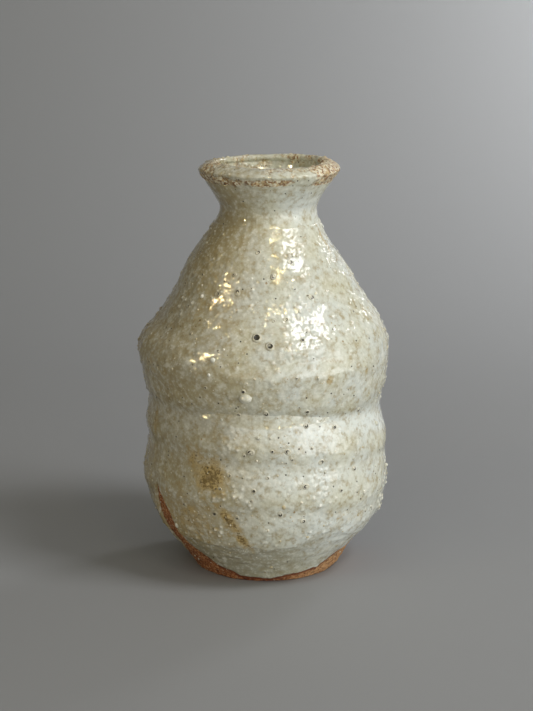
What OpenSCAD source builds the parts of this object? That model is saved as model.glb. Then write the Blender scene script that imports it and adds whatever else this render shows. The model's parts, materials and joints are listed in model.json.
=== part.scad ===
// Thrown stoneware sake bottle, glazed outside and inside, in millimetres.
// The origin is the centre of the foot where it meets the table, and +Z is up.

/* [Body] */
// Height from the table to the top of the lip
bottle_h = 139; // [122:1:160]
// Radius of the foot where it meets the table
foot_r = 25.8; // [24:0.2:27]
// Height of the turned bevel between the foot and the wall
bevel_h = 14; // [11:0.5:15]
// Largest radius of the wall, on the throwing rings
belly_r = 41.5; // [38:0.5:44]
// Largest radius of the shoulder roll
shoulder_r = 43; // [41:0.5:46]
// Height of the middle of the shoulder roll
shoulder_z = 73; // [70:0.5:76]

/* [Throwing rings] */
// Height of the lowest groove
groove_z = 28; // [26:0.5:30]
// Distance from groove to groove
groove_pitch = 15.8; // [15:0.1:16.4]
// Depth of the grooves
groove_depth = 1.2; // [0.4:0.1:2]

/* [Neck and mouth] */
// Outer radius of the neck at its narrowest
neck_r = 16.4; // [15:0.2:18]
// Distance from the top of the lip down to the narrowest part of the neck
neck_drop = 16; // [14:0.5:18]
// Largest radius of the rolled lip
lip_r = 23.5; // [22:0.5:25]
// Thickness of the rolled lip
lip_t = 5.2; // [4:0.2:6]
// How far the crest of the lip leans inwards
lip_slant = 1.8; // [0:0.2:2]
// Radius of the straight throat inside the neck
throat_r = 12; // [10:0.5:12.5]
// Length of the straight throat
throat_l = 8; // [6:0.5:9]

/* [Walls] */
// Thickness of the wall, with its glaze
wall_t = 5; // [4:0.25:6]
// Thickness of the floor, with its glaze
floor_t = 7; // [6:0.5:9]
// Thickness of each coat of glaze
glaze_t = 0.8; // [0.5:0.1:1.2]
// Height of the bare clay band around the foot
bare_h = 3; // [1:0.5:5]
// Height of the bare streak that the glaze left on the side
streak_h = 30; // [12:1:40]

/* [Grains and beads] */
// Number of feldspar grains that stand out of the wall
grain_count = 24; // [6:1:40]
// Radius of the largest feldspar grain
grain_r = 1.2; // [0.8:0.1:1.4]
// Radius of the largest bead of glaze
bead_r = 1.6; // [1:0.1:2]

/* [Hidden] */

steps = 6;                      // straight pieces in each span of a smooth curve
round_fn = 96;
small_fn = 32;
golden = 137.5;                 // degrees between neighbours that never line up
neck_z = bottle_h - neck_drop;
lip_z = bottle_h - lip_t / 2;   // height of the middle of the lip's roll
cone_r = shoulder_r - neck_r;   // how far the shoulder narrows on its way to the neck
cone_h = neck_z - shoulder_z;
inside_t = wall_t + 0.6;        // level distance through the leaning wall of the cone
cone_shares = [[0.2, 0.28], [0.58, 0.62], [0.88, 0.86]]; // points up the cone, inward and upward
streak_turn = 27;               // degrees that the bare streak lies in front of the -X side
streak_front = 17;              // how far the streak spreads towards the front at the foot
streak_back = 9;                // how far it spreads towards the back
grain_low = 6;                  // height of the lowest grain
grain_span = 96;                // height over which the grains are spread

// A point on the cone at a share of its narrowing and height, moved inwards by depth
function on_cone(share, depth = 0) =
    [shoulder_r - share[0] * cone_r - depth, shoulder_z + share[1] * cone_h];

// A point a share t of the way from b to c, on the curve that runs on from a and to d
function between(a, b, c, d, t) =
    0.5 * (2 * b + (c - a) * t + (2 * a - 5 * b + 4 * c - d) * t * t
           + (3 * b - a - 3 * c + d) * t * t * t);

// A smooth curve through the points p, its last point left out
function smooth(p) = [
    for (i = [0:len(p) - 2])
        for (j = [0:steps - 1])
            between(p[max(i - 1, 0)], p[i], p[i + 1], p[min(i + 2, len(p) - 1)], j / steps)
];

function unit(v) = v / norm(v);
function left_of(v) = [-v[1], v[0]];

// The line p moved by d to its left, which is into the wall
function inset(p, d) = [
    for (i = [0:len(p) - 1])
        p[i] + d * left_of(unit(p[min(i + 1, len(p) - 1)] - p[max(i - 1, 0)]))
];

function backwards(p) = [for (i = [len(p) - 1:-1:0]) p[i]];
function part_of(p, from, to) = [for (i = [from:to]) p[i]];

// The foot and the turned bevel, as radius and height
foot_line = [
    [foot_r, 0],
    [foot_r + 1.1, 1.8],
    [foot_r + 4.1, bevel_h / 2],
    [belly_r - 6.4, bevel_h],
    [belly_r - 2.3, bevel_h + 7.5],
];

// Grooves and crests of the throwing rings, from the lowest groove up
ring_line = [
    for (k = [0:4])
        [belly_r - (k % 2 == 0 ? groove_depth : 0.1 * k), groove_z + k * groove_pitch / 2]
];

// The shoulder roll and the cone, up to the neck
shoulder_line = [
    [shoulder_r - 0.7, shoulder_z - 5],
    [shoulder_r, shoulder_z + 2.5],
    [shoulder_r - 1.6, shoulder_z + 8.5],
    for (share = cone_shares) on_cone(share),
    [neck_r, neck_z],
    [neck_r + 1.2, neck_z + 4],
    [lip_r - 3.5, neck_z + 8],
    [lip_r - 2.3, lip_z - 3.4],
    [lip_r - 0.9, lip_z - 1.8],
];

// The rolled lip, as half of a circle over the top that leans inwards as it rises
lip_line = [
    for (a = [0:22.5:180])
        [lip_r - lip_t / 2 + lip_t / 2 * cos(a) - lip_slant * sin(a), lip_z + lip_t / 2 * sin(a)]
];

// The funnel inside the mouth, down to the throat
funnel_line = [
    [lip_r - lip_t, lip_z],
    [throat_r + 3.6, lip_z - 3.4],
    [throat_r + 1, neck_z + throat_l / 2 + 2],
    [throat_r, neck_z + throat_l / 2],
];

// The inside of the cone, the shoulder and the wall, from the throat to the middle of the floor
cavity_line = [
    [throat_r, neck_z - throat_l / 2],
    [throat_r + 1.4, neck_z - throat_l / 2 - 3],
    on_cone(cone_shares[1], inside_t),
    on_cone(cone_shares[0], inside_t),
    [shoulder_r - wall_t - 0.6, shoulder_z + 3],
    [shoulder_r - wall_t - 0.8, shoulder_z - 5],
    for (k = [4:-1:0])
        [belly_r - wall_t - (k % 2 == 0 ? groove_depth : 0.1 * k), groove_z + k * groove_pitch / 2],
    [belly_r - wall_t - 7, floor_t + 8.5],
    [foot_r - 1.5, floor_t + 3],
    [foot_r / 2, floor_t + 0.4],
    [0, floor_t],
];

outer_line = smooth(concat(foot_line, ring_line, shoulder_line, [lip_line[0]]));
skin = concat(outer_line, lip_line, part_of(smooth(funnel_line), 1, 3 * steps - 1),
              [funnel_line[3]], smooth(cavity_line), [[0, floor_t]]);
core_raw = inset(skin, glaze_t);
core_end = len(skin) - 1;
core = concat([[foot_r - glaze_t, 0]], part_of(core_raw, 1, core_end - 1), [[0, floor_t - glaze_t]]);
lip_end = len(outer_line) + len(lip_line) + steps;      // where the two coats meet, in the mouth

// The first point of the outer line that lies above the bare band
glaze_start = [for (i = [0:len(outer_line) - 1]) if (outer_line[i][1] >= bare_h) i][0];

// Radius of the glazed wall at a height below the neck
wall_curve = [for (i = [0:len(outer_line) - 1]) if (outer_line[i][1] < neck_z) outer_line[i]];
function wall_r(z) = lookup(z, [for (p = wall_curve) [p[1], p[0]]]);

// A coat of glaze, from one place on the skin to another
module coat(from, to) {
    rotate_extrude($fn = round_fn)
        polygon(concat(part_of(skin, from, to), backwards(part_of(core, from, to))));
}

// A finger of air where the coat stops short and bares the clay, on the -X side towards the front
module bare_streak() {
    rotate([0, 0, streak_turn])
        rotate([90, 0, -90])
            linear_extrude(height = shoulder_r + 10)
                polygon([[-streak_back, -1], [streak_front, -1], [0, streak_h]]);
}

// One ball, centred on the glazed wall and sunk in by a share of its radius
module ball(angle, z, r, sunk) {
    rotate([0, 0, angle])
        translate([wall_r(z) - sunk * r, 0, z])
            sphere(r = r, $fn = small_fn);
}

// Grains follow a golden-angle spiral up the wall, and shrink and grow in turn
module grains() {
    for (i = [0:grain_count - 1])
        ball(golden * i, grain_low + i * grain_span / grain_count, grain_r * (0.7 + 0.1 * (i % 4)), 0.4);
}

// The large bead stands on the shoulder at the front, and the small ones beside and above it
module beads() {
    ball(-97, shoulder_z - 4, bead_r, 0.2);
    for (k = [0:3])
        ball(-90 + 41 * (k - 2), shoulder_z + 6 + 7 * k, bead_r * 0.55, 0.3);
}

module clay_body() {
    color("saddlebrown")
        difference() {
            rotate_extrude($fn = round_fn)
                polygon(concat([[0, 0]], core));
            grains();
            beads();
        }
}

module outer_glaze() {
    color("gainsboro")
        difference() {
            coat(glaze_start, lip_end);
            bare_streak();
            grains();
            beads();
        }
}

module inner_glaze() {
    color("honeydew")
        coat(lip_end, len(skin) - 1);
}

module feldspar_grains() {
    color("ivory") grains();
}

module glaze_beads() {
    color("whitesmoke") beads();
}

clay_body();
outer_glaze();
inner_glaze();
feldspar_grains();
glaze_beads();
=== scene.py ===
# %% [markdown]
# # A hand-thrown stoneware sake flask
# The real flask is one piece of sandy red clay, thrown on a wheel and coated in a thick, pale feldspar
# glaze that stops just above the foot. The CAD model holds its sizes as plain turned solids. Here each
# of its nodes gets a finished stand-in, worked out from the same sizes, with the lean, the rings, the
# lumps and the glaze that a potter's hands and a kiln leave.
#
# Every shape below is a formula over a grid: one direction runs up the wall, the other runs round it.

# %% Load the frame
import itertools
import json
import math

import bpy
import numpy as np
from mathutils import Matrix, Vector


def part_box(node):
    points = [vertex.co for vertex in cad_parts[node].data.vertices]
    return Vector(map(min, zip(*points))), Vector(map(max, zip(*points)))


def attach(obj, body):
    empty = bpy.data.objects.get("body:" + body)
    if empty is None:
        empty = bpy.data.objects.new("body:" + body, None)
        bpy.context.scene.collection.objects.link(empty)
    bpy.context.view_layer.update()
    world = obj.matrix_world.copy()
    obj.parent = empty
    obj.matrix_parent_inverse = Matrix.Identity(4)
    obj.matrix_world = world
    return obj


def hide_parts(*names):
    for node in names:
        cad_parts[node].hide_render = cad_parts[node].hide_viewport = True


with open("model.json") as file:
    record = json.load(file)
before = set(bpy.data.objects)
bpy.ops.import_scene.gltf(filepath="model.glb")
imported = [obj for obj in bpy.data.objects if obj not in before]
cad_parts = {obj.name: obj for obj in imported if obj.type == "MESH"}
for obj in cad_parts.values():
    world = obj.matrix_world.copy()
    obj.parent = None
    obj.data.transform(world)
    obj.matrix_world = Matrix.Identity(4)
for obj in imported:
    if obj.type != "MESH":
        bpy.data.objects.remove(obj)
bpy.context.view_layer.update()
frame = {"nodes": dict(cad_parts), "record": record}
MM = 0.001

# %% [markdown]
# ## Sizes
# The frame gives the height, the shoulder and the throat. The foot is read off the clay's own mesh,
# where it touches the table. The rest are the potter's small sizes: how thick the glaze lies, how
# far the lip rolls over. Lengths are in millimetres, because that is how a flask is thought of.

# %% Sizes in millimetres
wall_high = np.array(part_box("outer_glaze")[1]) / MM
lip_top = wall_high[2]
shoulder_r = wall_high[0]
throat = next(m for m in frame["record"]["mounts"] if m["name"] == "throat")
throat_r = throat["dims"]["r_mm"]
throat_l = throat["dims"]["length_mm"]
neck_z = throat["pos_m"][2] / MM

GLAZE = 0.8          # thickness of the coat
LIP = 5.2            # thickness of the rolled lip
SLANT = 1.8          # how far the crest of the lip leans inwards
WALL = 5.0           # thickness of the wall with its glaze
CONE = 50.0          # height from the middle of the shoulder roll up to the neck
BELLY_IN = 1.6       # how far the belly lies inside the shoulder
NECK_WALL = 4.4      # thickness of the neck's wall
LIP_IN = 19.5        # how far the lip lies inside the shoulder

clay_cad = frame["nodes"]["clay_body"].data
corners = np.empty(3 * len(clay_cad.vertices), np.float32)
clay_cad.vertices.foreach_get("co", corners)
corners = corners.reshape(-1, 3) / MM
standing = corners[corners[:, 2] < 0.01]
foot_r = np.hypot(standing[:, 0], standing[:, 1]).max() + GLAZE
belly_r = shoulder_r - BELLY_IN
neck_r = throat_r + NECK_WALL
lip_r = shoulder_r - LIP_IN
lip_z = lip_top - LIP / 2
shoulder_z = neck_z - CONE
print(f"radii in mm: foot {foot_r:.1f}, belly {belly_r:.1f}, shoulder {shoulder_r:.1f}")
print(f"neck {neck_r:.1f} and lip {lip_r:.1f}")

# %% [markdown]
# ## Camera and room
# The flask stands on a pale grey sheet that curves up behind it, as on a studio table. The camera looks
# a little down on it through a long lens, so the mouth shows as a narrow oval. These come first, because
# every later step is judged through them.

# %% Camera
scene = bpy.context.scene
CAMERA_BACK = 557 * MM
CAMERA_UP = 209.1 * MM
CAMERA_PITCH = math.radians(13.8)

camera_data = bpy.data.cameras.new("camera")
camera_data.lens = 85
camera_data.sensor_width = 36
camera = bpy.data.objects.new("camera", camera_data)
camera.location = (0, -CAMERA_BACK, CAMERA_UP)
camera.rotation_euler = (math.pi / 2 - CAMERA_PITCH, 0, 0)
scene.collection.objects.link(camera)
scene.camera = camera
scene.view_settings.view_transform = "Standard"
print(f"camera {CAMERA_BACK / MM:.0f} mm back and {CAMERA_UP / MM:.0f} mm up")

# %% [markdown]
# ## Light
# The room is lit by day: a skylight that leaves white patches on the shoulder, and a broad pale wall on
# the right. One sun would throw a hard shadow and burn out the glaze, so each of these is a panel
# of its real width, and weak fills lift the side away from them. Two tiny warm lamps only glint.

# %% Lights
FLASK_MIDDLE = (0.0, 0.0, lip_top / 2 * MM)


def softbox(name, place, size, watts, tint, aim=FLASK_MIDDLE):
    """An area light at a place in metres, facing the point aim. Its size is (width, height) in metres."""
    light = bpy.data.lights.new(name, "AREA")
    light.shape = "RECTANGLE"
    light.size, light.size_y = size
    light.energy = watts
    light.color = tint
    lamp = bpy.data.objects.new(name, light)
    lamp.location = place
    lamp.rotation_mode = "QUATERNION"
    lamp.rotation_quaternion = (Vector(place) - Vector(aim)).to_track_quat("Z", "Y")
    scene.collection.objects.link(lamp)
    print(f"{name}: {watts} W")
    return lamp


softbox("skylight", (0.49, -0.28, 0.77), (0.28, 0.28), 3.8, (1.0, 0.99, 0.98))
softbox("white_wall", (0.95, -1.05, 0.24), (1.6, 1.0), 8.0, (0.97, 1.0, 1.0))
softbox("low_wall", (0.58, -0.42, 0.12), (0.6, 0.24), 1.1, (1.0, 1.0, 1.0), aim=(0, 0, 0.02))
softbox("ceiling_fill", (-0.25, -0.60, 0.85), (0.8, 0.8), 1.0, (1.0, 0.94, 0.80))
softbox("front_fill", (-0.28, -1.05, 0.20), (0.5, 0.4), 1.2, (1.0, 0.93, 0.78))
softbox("sheet_light", (0.42, 0.46, 0.38), (0.20, 0.20), 2.0, (1.0, 1.0, 1.0), aim=(0.22, 0.62, 0.16))
for lamp in (softbox("warm_lamp", (0.25, -0.70, 0.80), (0.032, 0.032), 3.8, (1.0, 0.82, 0.38)),
             softbox("warm_window", (-0.66, -0.46, 0.52), (0.04, 0.04), 4.2, (1.0, 0.82, 0.42))):
    lamp.visible_diffuse = False       # too small to light the flask, they only glint in its glaze

ROOM_TINT = (0.50, 0.46, 0.36, 1)
ROOM_STRENGTH = 0.36
world = bpy.data.worlds.new("room")
world.use_nodes = True
room = world.node_tree.nodes["Background"]
room.inputs["Color"].default_value = ROOM_TINT
room.inputs["Strength"].default_value = ROOM_STRENGTH
scene.world = world

# %% [markdown]
# ## Helpers for colour, nodes and meshes
# A colour is written as its sRGB hex value and turned to linear once. Each material is a small tree of
# nodes, and one function adds a node of any kind. A fired surface is many colours over each other, so
# another function lays them on one by one. Three more turn arrays of points into meshes.


# %% Colour and nodes
def colour(hex_value):
    """sRGB hex to linear: below 0.04045 a straight line, above it a power of 2.4."""
    parts = np.array([int(hex_value[i:i + 2], 16) / 255 for i in (1, 3, 5)])
    linear = np.where(parts <= 0.04045, parts / 12.92, ((parts + 0.055) / 1.055) ** 2.4)
    return (*linear.tolist(), 1.0)


def add(tree, kind, wires=None, out=0, **settings):
    """Adds a node with its settings, fills its inputs, and returns its output number out. wires maps an
    input's name, or its number among the shown ones, to a constant or to another node's output."""
    node = tree.nodes.new("ShaderNode" + kind)
    for name, value in settings.items():
        setattr(node, name, value)
    shown = [socket for socket in node.inputs if socket.enabled]
    for key, value in (wires or {}).items():
        socket = shown[key] if isinstance(key, int) else next(s for s in shown if s.name == key)
        if isinstance(value, bpy.types.NodeSocket):
            tree.links.new(value, socket)
        else:
            socket.default_value = value
    shown = [socket for socket in node.outputs if socket.enabled]
    return shown[out] if shown else None


def paint(tree, tint, *layers):
    """Lays colours over a tint, one after the other. Each layer is a value, the two numbers between which
    that value brings the colour in, how strong it gets, and the colour as hex."""
    for value, low, high, most, over in layers:
        share = add(tree, "MapRange", {"Value": value, "From Min": low, "From Max": high, "To Max": most})
        tint = add(tree, "Mix", {"Factor": share, "A": tint, "B": colour(over)}, data_type="RGBA")
    return tint


def new_material(name):
    """An empty material, and its node tree."""
    material = bpy.data.materials.new(name)
    material.use_nodes = True
    material.node_tree.nodes.clear()
    print("material:", name)
    return material, material.node_tree


def per_mm(width):
    """The scale of a noise whose features are that many millimetres wide."""
    return 1 / (width * MM)


# %% Meshes
def grid_faces(rows, columns, closed_rows=False):
    """Quads between neighbouring grid points. The columns close round the axis, and the rows may too."""
    row = np.arange(rows if closed_rows else rows - 1)[:, None]
    column = np.arange(columns)[None, :]
    above, beside = (row + 1) % rows, (column + 1) % columns
    lower, upper = row * columns, above * columns
    quads = [lower + column, lower + beside, upper + beside, upper + column]
    return np.stack(np.broadcast_arrays(*quads), -1).reshape(-1, 4)


def pole_faces(rows, columns):
    """Triangles that close a grid at both ends: its first row to the point after the grid's last one, and
    its last row to the point after that."""
    start_rim = np.arange(columns)
    end_rim = start_rim + (rows - 1) * columns
    start_pole = np.full(columns, rows * columns)
    start = np.stack([np.roll(start_rim, -1), start_rim, start_pole], -1)
    end = np.stack([end_rim, np.roll(end_rim, -1), start_pole + 1], -1)
    return np.concatenate([start, end])


def new_piece(name, points, faces, slot, node, material, **attributes):
    """A finished piece: points in mm, faces as arrays of corner numbers, and one number per point for
    each named attribute. It rides on the flask's one body and, if node is given, stands for that node."""
    mesh = bpy.data.meshes.new(name)
    corner_lists = [face for part in faces for face in part.tolist()]
    mesh.from_pydata((points.reshape(-1, 3) * MM).tolist(), [], corner_lists)
    mesh.shade_smooth()
    for key, values in attributes.items():
        layer = mesh.attributes.new(key, "FLOAT", "POINT")
        layer.data.foreach_set("value", np.asarray(values, np.float32).ravel())
    mesh.materials.append(material)
    piece = bpy.data.objects.new(name, mesh)
    scene.collection.objects.link(piece)
    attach(piece, "root")
    if node:
        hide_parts(node)
    triangles = sum(len(part) * (part.shape[1] - 2) for part in faces)
    print(f"{name}: {len(mesh.vertices)} points, {triangles} triangles")
    return piece


# %% [markdown]
# ## The sheet it stands on
# A seamless sheet of paper: flat under the flask, then a quarter circle, then straight up. It is the
# same profile carried sideways, because a plane and a wall would meet in a line behind the flask. It
# isn't part of the object.

# %% Backdrop
SHEET_FRONT, SHEET_BACK, SHEET_BEND, SHEET_TOP, SHEET_HALF = -1.2, 0.25, 0.5, 1.6, 2.2

turn = np.linspace(-math.pi / 2, 0, 24)
bend = np.stack([SHEET_BACK + SHEET_BEND * np.cos(turn), SHEET_BEND + SHEET_BEND * np.sin(turn)], -1)
sheet_line = np.vstack([[SHEET_FRONT, 0], bend, [SHEET_BACK + SHEET_BEND, SHEET_TOP]])
sheet_points = np.array([(x, y, z) for y, z in sheet_line for x in (-SHEET_HALF, SHEET_HALF)])
sheet_faces = [(2 * i, 2 * i + 1, 2 * i + 3, 2 * i + 2) for i in range(len(sheet_line) - 1)]
sheet_mesh = bpy.data.meshes.new("backdrop")
sheet_mesh.from_pydata(sheet_points.tolist(), [], sheet_faces)
sheet_mesh.shade_smooth()
backdrop = bpy.data.objects.new("backdrop", sheet_mesh)
scene.collection.objects.link(backdrop)
print("sheet:", len(sheet_faces), "faces")

# Uncoated paper has no gloss, so that only the flask shines.
paper, tree = new_material("matt_grey_paper")
fibres = add(tree, "TexNoise", {"Scale": per_mm(1.5), "Detail": 3.0})
bump = add(tree, "Bump", {"Height": fibres, "Distance": 0.02 * MM, "Strength": 0.4})
shader = add(tree, "BsdfPrincipled", {"Base Color": colour("#8B8D90"), "Roughness": 0.75, "Normal": bump})
add(tree, "OutputMaterial", {"Surface": shader})
sheet_mesh.materials.append(paper)

# %% [markdown]
# ## Noise that has no seam
# A texture wrapped round a pot shows where it closes. These patterns fill space instead, and the pot's
# surface cuts through them, so there is no seam, no pole and no stretching. Each is worked out for a
# whole array of points at once, and the same point always gives the same number.


# %% Noise and pebbles
def hashed(cells, seed):
    """A number from 0 to 1 for each cell of whole numbers: the three coordinates are multiplied by large
    odd numbers and summed, and the sum's bits are folded over each other twice."""
    x, y, z = (cells[..., i].astype(np.int64).astype(np.uint32) for i in range(3))
    mixed = x * np.uint32(374761393) + y * np.uint32(668265263) + z * np.uint32(2246822519)
    mixed = mixed + np.uint32(seed * 3266489917 % 2**32)
    mixed = (mixed ^ (mixed >> np.uint32(15))) * np.uint32(2246822519)
    mixed = (mixed ^ (mixed >> np.uint32(13))) * np.uint32(3266489917)
    return ((mixed ^ (mixed >> np.uint32(16))) & np.uint32(0xFFFFFF)) / float(0xFFFFFF)


def noise(points, size, seed):
    """Value noise from -1 to 1: a number on each corner of a lattice of that size, blended across each
    cube by the smooth step 3t^2 - 2t^3."""
    place = points / size
    cell = np.floor(place)
    share = place - cell
    share = share * share * (3 - 2 * share)
    total = np.zeros(points.shape[:-1])
    for corner in itertools.product((0, 1), repeat=3):
        weight = np.prod(np.where(corner, share, 1 - share), axis=-1)
        total += weight * hashed(cell + corner, seed)
    return 2 * total - 1


def pebbles(points, spacing, radius, chance, seed):
    """Lumps from 0 to 1 with round tops: each cube of the lattice may hold one, somewhere in it, and its
    height is (1 - (distance / radius)^2)^1.5. The tallest of the cube and its 26 neighbours counts."""
    place = points / spacing
    cell = np.floor(place)
    tallest = np.zeros(points.shape[:-1])
    for step in itertools.product((-1, 0, 1), repeat=3):
        near = cell + step
        middle = near + np.stack([hashed(near, seed + axis) for axis in range(3)], -1)
        share = 0.55 + 0.45 * hashed(near, seed + 3)
        far = np.linalg.norm(place - middle, axis=-1) * spacing / (radius * share)
        lump = np.clip(1 - far * far, 0, 1) ** 1.5 * share
        tallest = np.maximum(tallest, lump * (hashed(near, seed + 4) < chance))
    return tallest


def ramp(value, low, high):
    """0 below low, 1 above high, and the smooth step 3t^2 - 2t^3 between."""
    share = np.clip((value - low) / (high - low), 0, 1)
    return share * share * (3 - 2 * share)


# %% [markdown]
# ## The thrown outline
# A potter draws one line: up the outside, over the lip, and down the inside to the middle of the floor.
# That line is a Catmull-Rom curve through a few points, given as radius and height, and the place on it
# is the length along it from the foot. The CAD walls follow the same points, so nothing is fitted.


# %% The outline
def smooth_line(points, per_span=16):
    """A curve through every point that leaves each one along the line between its two neighbours:
    0.5 (2b + (c-a)t + (2a-5b+4c-d)t^2 + (3b-a-3c+d)t^3) for t from 0 to 1 between b and c."""
    p = np.array([points[0], *points, points[-1]], float)
    a, b, c, d = (p[i:len(p) - 3 + i, None] for i in range(4))
    t = np.linspace(0, 1, per_span, endpoint=False)[None, :, None]
    spans = 2 * b + (c - a) * t + (2 * a - 5 * b + 4 * c - d) * t**2 + (3 * b - a - 3 * c + d) * t**3
    return np.vstack([0.5 * spans.reshape(-1, 2), p[-1]])


cone_r = shoulder_r - neck_r
CONE_SHARES = [(0.2, 0.28), (0.58, 0.62), (0.88, 0.86)]     # points up the cone, inward and upward


def on_cone(share, depth=0.0):
    """A point at a share of the cone's narrowing and height, moved inwards by depth."""
    return (shoulder_r - share[0] * cone_r - depth, shoulder_z + share[1] * CONE)


outside = [
    (foot_r, 0), (foot_r + 1.1, 1.8), (foot_r + 4.1, 7), (belly_r - 6.4, 14), (belly_r - 2.3, 21.5),
    (belly_r - 0.3, 29), (belly_r + 0.2, 36), (belly_r, 44), (belly_r - 0.1, 52), (belly_r - 0.4, 60),
    (shoulder_r - 0.8, shoulder_z - 5), (shoulder_r, shoulder_z + 2.5), (shoulder_r - 1.8, shoulder_z + 8.5),
    *(on_cone(share) for share in CONE_SHARES), (neck_r, neck_z), (neck_r + 1.2, neck_z + 4),
    (lip_r - 3.5, neck_z + 8), (lip_r - 2.3, lip_z - 3.4), (lip_r - 0.9, lip_z - 1.8),
]
over = np.radians(np.arange(0, 181, 22.5))
lip = np.stack([lip_r - LIP / 2 + LIP / 2 * np.cos(over) - SLANT * np.sin(over),
                lip_z + LIP / 2 * np.sin(over)], -1)
inside = [
    (throat_r + 5, lip_z - 3.4), (throat_r + 2, neck_z + throat_l / 2 + 2),
    (throat_r, neck_z + throat_l / 2), (throat_r, neck_z - throat_l / 2),
    (throat_r + 1.4, neck_z - throat_l / 2 - 3), on_cone(CONE_SHARES[1], WALL),
    on_cone(CONE_SHARES[0], WALL), (shoulder_r - WALL - 0.6, shoulder_z + 3),
    (belly_r - WALL - 0.6, 60), (belly_r - WALL, 36), (belly_r - WALL - 7, 15.5),
    (foot_r - 1.5, 10), (foot_r / 2, 7.4), (0, 7),
]
line = smooth_line([*outside, *lip, *inside])
along = np.concatenate([[0], np.cumsum(np.linalg.norm(np.diff(line, axis=0), axis=1))])
crest = int(np.argmax(line[:, 1]))
print(f"the line is {along[-1]:.0f} mm long, and {along[crest]:.0f} mm of it is outside")


def outline(s):
    """Radius and height at a place on the line."""
    return np.interp(s, along, line[:, 0]), np.interp(s, along, line[:, 1])


def place_at(height):
    """The place on the outside of the line at a height."""
    return np.interp(height, line[:crest + 1, 1], along[:crest + 1])


# %% [markdown]
# ## What hands do to a round line
# No thrown pot is quite round. The fingers climb while the wheel turns, so the throwing ring is one long
# spiral groove, not a stack of circles. The shoulder has slumped to one side, the lip leans a little,
# and the wall has soft dents. All pieces pass through the same function, so they still fit each other.

# %% The spiral groove and the lean
# The groove starts high at the right and runs down as it goes round. Each row: turns from the left side,
# height in mm, depth in mm. The left side is turn 0, the front is a quarter, the right is a half.
groove = np.array([
    (-0.60, 78, 0.0), (-0.50, 74, 0.3), (-0.25, 67, 0.8), (0.00, 60.0, 1.3), (0.25, 59.8, 1.6),
    (0.50, 54.8, 2.0), (0.75, 51, 1.5), (1.00, 47.0, 1.0), (1.25, 45.0, 1.0), (1.50, 39.6, 1.0),
    (1.75, 34, 0.9), (2.00, 28.0, 0.8), (2.25, 28.2, 0.8), (2.50, 23.0, 0.7), (2.75, 18, 0.3),
    (3.00, 15, 0.0),
])
ABOVE, BELOW = 3.4, 8.0      # how far the groove's steep and gentle sides reach


def turned_from(angle, degrees):
    """How far an angle lies from a direction in degrees, as radians between minus and plus half a turn."""
    return (angle - math.radians(degrees) + math.pi) % (2 * math.pi) - math.pi


def soft_patch(across, up, wide, tall):
    """A patch that fades from 1 in its middle to a half at its edge, wide and tall across:
    exp(-0.7 ((2 across / wide)^2 + (2 up / tall)^2))."""
    return np.exp(-0.7 * ((2 * across / wide) ** 2 + (2 * up / tall) ** 2))


def groove_depth(angle, height):
    """Depth of the spiral groove: on each of its turns, the depth there times exp(-(distance / reach)^2)."""
    depth = np.zeros(np.broadcast(angle, height).shape)
    for turn_number in range(-1, 3):
        t = (angle + math.pi) / (2 * math.pi) % 1 + turn_number
        off = height - np.interp(t, groove[:, 0], groove[:, 1])
        deep = np.interp(t, groove[:, 0], groove[:, 2], left=0, right=0)
        depth += deep * np.exp(-(off / np.where(off > 0, ABOVE, BELOW)) ** 2)
    return depth


# Each row: height in mm, and how far the middle lies to the right there, or to the back.
lean_x = smooth_line([(0, 0), (38, 0.2), (62, -0.8), (77, -1.3), (86, 0.5), (92, 0.5), (108, -0.2),
                      (122, 0.6), (132, 0.7), (lip_top, 1.0)])
lean_y = smooth_line([(0, 0), (42, 0.3), (76, 0.6), (102, -0.2), (lip_top, -0.4)])
FADE_IN = (4, 16)            # heights between which the dents grow, so that the foot stays flat
BARREL = 40                  # radius of the barrel on which the noise of the dents is read
TILT = -0.008                # how steeply the mouth slopes from side to side
WAVE = 0.25                  # how far the lip waves up and down

# Where the hands pressed: the angle in degrees, then the height, the width and the tallness of the patch
# and how far it went in or, with a plus, out. The shoulder's front is flattened above and below a ridge.
presses = [
    (180, 11, 60, 16, 1.0), (-172, 28, 44, 12, 1.2), (180, 70, 40, 11, -1.3), (180, 96, 56, 15, -0.9),
    (0, 60.5, 50, 5, -1.0), (-5, 21, 44, 8, 1.2), (0, 94, 50, 14, -0.9), (0, 113, 30, 13, -0.7),
    (-70, 94, 38, 13, -2.2), (-70, 79, 36, 5, -0.9), (-72, 84, 40, 4, 0.4), (70, 88, 44, 18, -0.8),
]


def thrown(s, angle):
    """A point of the thrown form, in mm: the outline's radius, less the groove and plus the dents, turned
    round the axis, then pushed sideways by the lean and tipped by the tilt at its height."""
    radius, height = outline(s)
    barrel = np.stack(np.broadcast_arrays(BARREL * np.cos(angle), BARREL * np.sin(angle), height), -1)
    shape = ramp(height, *FADE_IN)
    outer = ramp(along[crest] - s, -2, 6)
    dents = 0.45 * noise(barrel, 34, 11) + 0.25 * noise(barrel, 17, 12)
    rings = 0.10 * noise(barrel * (0.08, 0.08, 1), 2.6, 13)
    below_neck = ramp(height, neck_z + 6, neck_z - 12)
    for degrees, middle, wide, tall, push in presses:
        patch = soft_patch(turned_from(angle, degrees) * radius, height - middle, wide, tall)
        radius = radius + outer * push * patch
    radius = radius + shape * (0.35 + 0.65 * below_neck) * dents * radius / belly_r
    radius = radius + outer * (shape * rings - groove_depth(angle, height))
    x = radius * np.cos(angle) + np.interp(height, lean_x[:, 0], lean_x[:, 1])
    y = radius * np.sin(angle) + np.interp(height, lean_y[:, 0], lean_y[:, 1])
    tilt = TILT * ramp(height, neck_z - 5, lip_top - 4)
    wave = WAVE * np.sin(2 * angle + 0.6) * ramp(height, neck_z + 6, lip_top)
    return np.stack([x, y, height - tilt * x + wave], -1)


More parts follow.
